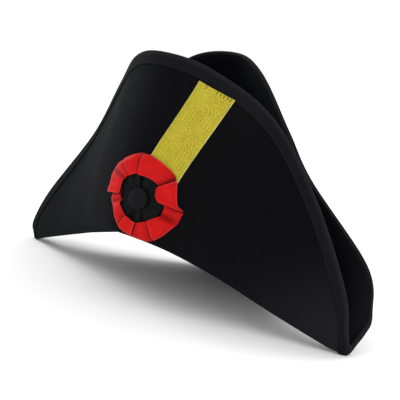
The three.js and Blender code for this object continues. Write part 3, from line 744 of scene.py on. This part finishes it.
# The cloth's width across the threads is the way round at the middle of the ring.
CLOTH_RADIUS = 18
rosette_cloth = np.stack([turn_r * CLOTH_RADIUS, rosette_r], -1)
rosette_cloth = np.concatenate([rosette_cloth, rosette_cloth[:1] + [2 * np.pi * CLOTH_RADIUS, 0]], 0)
bend = np.clip(np.abs(np.gradient(face_height, axis=0)) / 0.2, 0, 1)
# Painted shade where the rosette's face dips down into its folds.
rosette_tuck_shade = np.clip(ROSETTE_TOP - 0.15 - face_height, 0, 1) * np.clip((radius_grid - 6) / 4, 0, 1)
# Painted highlight along the sharp bends that stand high on the rosette.
rosette_fold_highlight = bend * np.clip((face_height - ROSETTE_TOP) / 0.5, 0, 1) * 0.7
unmarked = np.zeros((ROSETTE_AROUND, 3))
rosette_tuck_shade, rosette_fold_highlight = (np.concatenate([unmarked, part], 1) for part in (rosette_tuck_shade, rosette_fold_highlight))
rosette = made_of_grids(
    "cockade_black_ribbon", rosette_points[None], rosette_cloth[None], close_columns=False,
    marks={"tuck": rosette_tuck_shade[None], "fold": rosette_fold_highlight[None]},
)


def ribbon(name, shade, bright, edge, shadow_colour, sheen, roughness):
    """Satin ribbon: fine threads across its width, a soft sheen, a slow shift of shade, a painted highlight
    where the mark fold is near 1 and the cloth is bent sharply, and painted shade where the mark tuck
    is near 1 and the cloth goes down into a fold or under its neighbour."""
    satin = Finish(name, Sheen_Weight=sheen, Sheen_Roughness=0.4, Specular_IOR_Level=0.06)
    cloth = satin.node("UVMap", {"uv_map": "cloth"})
    threads = satin.threads(cloth, "X", 420.0, Distortion=0.8, Detail=2.0, Detail_Scale=2.0)
    slow = satin.noise(cloth, 90.0, 3.0)
    crease = satin.noise(cloth, 420.0, 3.0, 0.6, 0.6)
    colour = satin.blend(satin.between(slow * 0.7 + threads * 0.3, 0.25, 0.8), shade, bright)
    # Painted shade: a dark colour where the tuck mark is near 1.
    colour = satin.blend(satin.mark("tuck"), colour, shadow_colour)
    # Painted highlight: the pale edge colour along the fold mark.
    colour = satin.blend(satin.mark("fold"), colour, edge)
    normal = satin.raised(threads, 0.05)
    normal = satin.raised(crease, 0.22, normal)
    return satin.finished(Base_Color=colour, Roughness=roughness + slow * 0.12, Normal=normal)


shade, bright = (0.0024, 0.0027, 0.0029, 1), (0.0046, 0.0052, 0.0056, 1)
# The painted highlight colour for folds, then the painted shade colour for tucks.
edge, shadow_colour = (0.010, 0.0115, 0.012, 1), (0.0008, 0.0009, 0.0009, 1)
rosette.data.materials.append(ribbon("black_satin", shade, bright, edge, shadow_colour, 0.02, 0.45))
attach(rosette, "root")
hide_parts("cockade_black")


# ---- Red ruffle ----
# A doubled red satin ribbon, laid round the rosette in eight uneven pleats that overlap like petals.
# Each pleat has a rolled fold at the sides where it lies on top, and slips under its neighbour at the
# sides where it lies below. Soft valleys run across the wider ones.

RIBBON_HALF = 0.65
FOLD_ROLL = 0.8
# One table for each pleat, going clockwise from the top. A row is a line across the ribbon: its corner
# on the outer side and its corner on the inner side, across and up the flap, and how much higher than
# usual the ribbon lies there.
ruffle_pleats = [
    [
        (-5.0, 41.7, -5.8, 21.4, 1.0), (2.9, 41.8, 0.4, 20.9, 0.9), (13.7, 37.4, 7.7, 19.6, 0.7),
        (24.2, 31.6, 13.6, 17.2, 0.1), (31.4, 25.0, 16.9, 14.3, -1.0), (31.0, 17.5, 19.2, 9.4, -2.4),
    ],
    [
        (33.6, 22.0, 16.6, 12.7, 1.2), (34.9, 14.1, 15.7, 9.1, 1.2), (36.4, 5.1, 16.3, 4.5, 1.2),
        (38.7, -1.7, 17.6, 1.7, 1.3), (44.8, -5.4, 19.7, -0.8, 1.5),
    ],
    [
        (34.0, 2.5, 18.8, 4.9, -2.4), (44.2, -6.6, 24.9, -2.2, -0.9), (43.2, -11.8, 25.8, -7.3, -0.6),
        (40.2, -19.3, 23.2, -13.7, -1.9), (35.9, -24.0, 19.8, -15.9, 0.8), (27.7, -32.7, 15.6, -18.4, 0.9),
        (19.2, -39.0, 11.4, -21.0, 1.1),
    ],
    [
        (25.7, -33.7, 15.3, -17.2, -2.4), (18.7, -39.1, 11.3, -21.1, -1.1), (11.5, -41.6, 5.5, -23.4, 0.1),
        (3.3, -41.5, 1.6, -24.7, -0.1), (-4.1, -40.3, -1.0, -25.0, -0.8), (-10.4, -37.9, -5.3, -24.1, -2.4),
    ],
    [(-4.3, -40.0, -1.2, -24.8, 0.8), (-12.1, -37.8, -6.5, -23.4, 0.6), (-21.0, -34.1, -12.7, -20.3, 0.9)],
    [
        (-13.9, -35.9, -7.7, -22.0, -2.4), (-21.4, -33.7, -13.1, -19.9, -0.7),
        (-27.3, -26.0, -17.9, -14.9, 0.6), (-30.9, -17.7, -21.3, -9.6, 0.4),
        (-36.3, -10.6, -20.5, -5.8, -1.6), (-37.0, -6.0, -21.5, -3.2, -0.2),
        (-35.5, -1.5, -22.9, -0.2, -0.9), (-36.4, 5.1, -22.9, 5.8, -2.4),
    ],
    [
        (-44.8, -2.4, -23.9, -0.1, 1.1), (-42.7, 6.2, -23.2, 6.8, 1.0), (-42.2, 15.3, -22.7, 11.8, 0.5),
        (-41.0, 21.1, -20.7, 14.6, -1.8), (-35.1, 28.2, -18.4, 17.5, 0.0), (-28.2, 33.1, -14.9, 19.1, -0.9),
        (-20.4, 37.2, -9.9, 21.0, -2.4),
    ],
    [
        (-28.5, 33.3, -15.3, 18.9, 0.8), (-19.5, 38.3, -10.0, 21.4, 0.7), (-11.5, 41.4, -7.5, 21.8, -0.7),
        (-5.2, 42.5, -5.6, 21.6, -1.8), (1.4, 41.1, -1.1, 21.0, -2.5),
    ],
]
PLEAT_ALONG, PLEAT_ACROSS = 72, 34
PLEAT_CRISPNESS = 0.55
CLOTH_APART = 70.0
COVERED = -2.3


def along_rows(rows, t):
    """Open line through the rows of a table, at shares t of the way along it: partly a Catmull-Rom curve
    and, by its crispness, partly the straight lines between the rows, so that the creases show."""
    padded = np.concatenate([2 * rows[:1] - rows[1:2], rows, 2 * rows[-1:] - rows[-2:-1]])
    place = np.clip(t * (len(rows) - 1), 0, len(rows) - 1 - 1e-9)
    i = np.floor(place).astype(int)
    t = (place - i)[..., None]
    a, b, c, d = (padded[i + k] for k in range(4))
    curve = 0.5 * t * (c - a + t * (2 * a - 5 * b + 4 * c - d + t * (3 * b - a - 3 * c + d)))
    return b + curve * (1 - PLEAT_CRISPNESS) + (c - b) * t * PLEAT_CRISPNESS


def near_edge(distance, reach):
    """Share of a rolled edge's thickness: a quarter circle that is 0 at the edge and 1 from reach on."""
    return np.sqrt(1 - np.clip(1 - distance / reach, 0, 1) ** 2)


def ruffle_pleat(table, seed):
    """One pleat as a closed form. Its middle line rises within 6 mm of the outer side, is level, and
    rounds down within 4 mm of the inner side. It is 1.3 mm thick at its rolled edges, and filled down
    to the back of the cockade inside them."""
    rows = np.array(table, float)
    t = 0.5 - 0.5 * np.cos(np.linspace(0, np.pi, PLEAT_ALONG))
    w = 0.5 - 0.5 * np.cos(np.linspace(0, np.pi, PLEAT_ACROSS))
    line = along_rows(rows, t)
    outer, inner, lift = line[:, None, :2], line[:, None, 2:4], line[:, 4, None]
    spot = outer + (inner - outer) * w[:, None]
    middle = spot[:, PLEAT_ACROSS // 2]
    run = np.concatenate([[0], np.linalg.norm(np.diff(middle, axis=0), axis=1).cumsum()])
    to_end = np.minimum(run, run[-1] - run)[:, None]
    radial = np.linalg.norm(inner - outer, axis=-1)
    to_outer, to_inner = radial * w, radial * (1 - w)
    to_side = np.minimum(to_outer, to_inner)
    rise = 1 - (1 - np.clip(to_outer / 6, 0, 1)) ** 2.5
    fall = (1 - np.clip(to_inner / 4, 0, 1)) ** 2
    crest, outer_z, inner_z = 6.7 + 1.4 * lift, 3.0 + 0.5 * lift, 6.0 + 0.9 * lift
    along = run[:, None]
    gathers = 0.2 * np.sin(along * 2.3 + seed + 0.1 * to_inner) * np.exp(-to_inner / 4.5)
    ripple = 0.22 * np.sin(along * 0.55 + 1.7 * seed + 0.12 * to_inner) * np.clip(to_end / 5, 0, 1)
    middle_z = outer_z + (crest - outer_z) * rise - (crest - inner_z) * fall + gathers + ripple
    thickness = RIBBON_HALF * near_edge(to_end, FOLD_ROLL) * near_edge(to_side, FOLD_ROLL)
    filled = np.clip((np.minimum(to_end, to_side) - 1.2) / 3, 0, 1) ** 2
    back = COCKADE_BACK + 3.0 * np.clip(1 - (to_inner - 3) / 5, 0, 1)
    top, bottom = middle_z + thickness, middle_z - thickness
    bottom = bottom - filled * np.maximum(bottom - back, 0)
    around = np.concatenate([spot, spot[:, -2:0:-1]], 1)
    height = np.concatenate([top, bottom[:, -2:0:-1]], 1)
    on_top = np.clip((lift + 0.6) / 0.8, 0, 1)
    # Painted highlight along the rolled fold edges of a pleat that lies on top of its neighbour.
    fold = np.maximum(np.exp(-to_end / 0.35), 0.7 * np.exp(-to_side / 0.3)) * on_top * 0.75
    fold = np.concatenate([fold, 0 * fold[:, -2:0:-1]], 1)
    # Painted shade in the valleys across a pleat and near where it goes under its neighbour. The underside
    # is shaded all over.
    valley_shade = 0.85 * np.clip((-0.3 - lift) / 1.4, 0, 1) ** 1.2 * np.clip(0.6 + to_outer / radial, 0, 1)
    row_run = np.interp(np.arange(len(rows)) / (len(rows) - 1), t, run)
    from_cover = np.full_like(run, 100.0)
    if rows[0, 4] < COVERED:
        from_cover = np.minimum(from_cover, np.maximum(run - row_run[1], 0))
    if rows[-1, 4] < COVERED:
        from_cover = np.minimum(from_cover, np.maximum(row_run[-2] - run, 0))
    in_shade = 0.65 * np.exp(-from_cover / 3.6) + 0.35 * np.exp(-from_cover / 0.6)
    tuck = np.maximum(valley_shade, in_shade[:, None])
    tuck = np.concatenate([tuck, 1 + 0 * tuck[:, -2:0:-1]], 1)
    cloth = np.stack([np.broadcast_to(run[:, None], to_outer.shape), to_outer], -1)
    cloth = np.concatenate([cloth, cloth[:, -2::-1]], 1)
    return around, height, fold, tuck, cloth + [seed * CLOTH_APART, 0]


pleats = [ruffle_pleat(table, seed) for seed, table in enumerate(ruffle_pleats)]
spots, heights, fold_highlights, tuck_shades, cloths = (np.stack(part) for part in zip(*pleats))
ruffle_points = on_flap(spots[..., 0], spots[..., 1], heights)
marks = {"fold": fold_highlights, "tuck": tuck_shades}
ruffle = made_of_grids("cockade_red_ribbon", ruffle_points, cloths, close_rows=False, marks=marks)
shade, bright = (0.41, 0.0042, 0.0046, 1), (0.61, 0.0092, 0.0096, 1)
# The painted highlight colour for folds, then the painted shade colour for tucks and valleys.
edge, shadow_colour = (0.90, 0.085, 0.080, 1), (0.17, 0.0015, 0.002, 1)
ruffle.data.materials.append(ribbon("red_satin", shade, bright, edge, shadow_colour, 0.02, 0.5))
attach(ruffle, "root")
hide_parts("cockade_red")


# ---- Button ----
# A flat domed button form covered with plain black cloth, which is drawn tight over its edge.

BUTTON_X, BUTTON_Y = -1.5, -1.5
BUTTON_RADIUS = 10.5
BUTTON_BACK = 4.9
BUTTON_HEIGHT = 5.4
BUTTON_AROUND = 144
TUCKS = 22
TUCK_DEPTH = 0.010
round_turn = np.linspace(0, 2 * np.pi, BUTTON_AROUND, endpoint=False)[:, None]
share = np.sin(np.linspace(0, np.pi / 2, 34))[None]
# The cloth is puckered toward the edge. The form is a dome of (1 - r^2.4)^0.62 on a low rim.
tuck = 1 - TUCK_DEPTH * np.sin(TUCKS * round_turn) * share**8
at_edge = tuck[:, -1:]
button_r = np.concatenate([BUTTON_RADIUS * share * tuck, BUTTON_RADIUS * (at_edge - 0.06), 0 * at_edge], 1)
dome_z = BUTTON_BACK + 1.4 + BUTTON_HEIGHT * 0.75 * (1 - share**2.4) ** 0.62 * np.ones_like(round_turn)
button_z = np.concatenate([dome_z, np.full((BUTTON_AROUND, 2), BUTTON_BACK)], 1)
button_x = BUTTON_X + button_r * np.cos(round_turn)
button_y = BUTTON_Y + button_r * np.sin(round_turn)
button_cloth = np.stack([button_x, button_y], -1)
button_cloth = np.concatenate([button_cloth, button_cloth[:1]], 0)
button_points = on_flap(button_x, button_y, button_z)
button = made_of_grids("cockade_button_cloth", button_points[None], button_cloth[None], close_columns=False)

covering = Finish("black_button_cloth", Sheen_Weight=0.02, Sheen_Roughness=0.5, Specular_IOR_Level=0.03)
cloth = covering.node("UVMap", {"uv_map": "cloth"})
warp, weft = (covering.threads(cloth, way, 460.0, Distortion=0.6, Detail=1.0) for way in "XY")
weave = warp * weft
lint = covering.noise(cloth, 1500.0, 3.0)
colour = covering.blend(weave * 0.6 + lint * 0.4, (0.006, 0.006, 0.0072, 1), (0.0125, 0.0125, 0.0148, 1))
normal = covering.raised(weave * 0.7 + lint * 0.3, 0.12)
rough = lint * 0.15 + 0.75
button.data.materials.append(covering.finished(Base_Color=colour, Roughness=rough, Normal=normal))
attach(button, "root")
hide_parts("cockade_button")


# ---- Table, light and camera ----
# A plain pale table in soft studio light. The camera stands before the front flap, off to its right,
# and is turned a little clockwise.

FLOOR_HALF = 60
floor_corners = [(x * FLOOR_HALF, y * FLOOR_HALF, 0) for x, y in ((-1, -1), (1, -1), (1, 1), (-1, 1))]
floor_mesh = bpy.data.meshes.new("floor")
floor_mesh.from_pydata(floor_corners, [], [(0, 1, 2, 3)])
floor = bpy.data.objects.new("floor", floor_mesh)
bpy.context.scene.collection.objects.link(floor)
pale_floor = Finish("pale_floor", Base_Color=(0.96, 0.96, 0.96, 1), Roughness=0.9, Specular_IOR_Level=0.1)
floor_mesh.materials.append(pale_floor.material)

world = bpy.data.worlds.new("studio")
world.use_nodes = True
world.node_tree.nodes["Background"].inputs["Color"].default_value = (1, 1, 1, 1)
world.node_tree.nodes["Background"].inputs["Strength"].default_value = 1.045
bpy.context.scene.world = world
bpy.context.scene.view_settings.view_transform = "Standard"


def soft_light(name, place, aim, size, power):
    """A square softbox at a place in metres, turned to its aim."""
    lamp = bpy.data.lights.new(name, "AREA")
    lamp.size = size
    lamp.energy = power
    box = bpy.data.objects.new(name, lamp)
    box.location = place
    box.rotation_mode = "QUATERNION"
    box.rotation_quaternion = (Vector(aim) - Vector(place)).to_track_quat("-Z", "Y")
    bpy.context.scene.collection.objects.link(box)


soft_light("key_light", (-1.7, -0.25, 1.0), (0, 0, 0.15), 0.9, 13)
soft_light("fill_light", (1.5, -0.9, 0.25), (0.2, 0, 0.03), 0.5, 4)
soft_light("rim_light", (0.3, 1.5, 1.5), (0, 0, 0.15), 1.2, 17)

CAMERA_AZIMUTH = np.radians(42.0)
CAMERA_ELEVATION = np.radians(11.5)
CAMERA_ROLL = np.radians(6.5)
CAMERA_DISTANCE = 1200.0
CAMERA_AIM = np.array([0.0, -3.0, 100.0])
CAMERA_LENS = 103.7
CAMERA_SHIFT = (0.0167, -0.0113)
sin_a, cos_a = np.sin(CAMERA_AZIMUTH), np.cos(CAMERA_AZIMUTH)
sin_e, cos_e = np.sin(CAMERA_ELEVATION), np.cos(CAMERA_ELEVATION)
sin_r, cos_r = np.sin(CAMERA_ROLL), np.cos(CAMERA_ROLL)
back = np.array([sin_a * cos_e, -cos_a * cos_e, sin_e])
right = np.array([cos_a, sin_a, 0])
up = np.array([-sin_a * sin_e, cos_a * sin_e, cos_e])
turned = np.stack([right * cos_r + up * sin_r, up * cos_r - right * sin_r, back], 1)
lens = bpy.data.cameras.new("camera")
lens.lens = CAMERA_LENS
lens.shift_x, lens.shift_y = CAMERA_SHIFT
lens.clip_end = 200
camera = bpy.data.objects.new("camera", lens)
bpy.context.scene.collection.objects.link(camera)
camera_place = (CAMERA_AIM + CAMERA_DISTANCE * back) * METRE
camera.matrix_world = Matrix.Translation(camera_place) @ Matrix(turned.tolist()).to_4x4()
bpy.context.scene.camera = camera
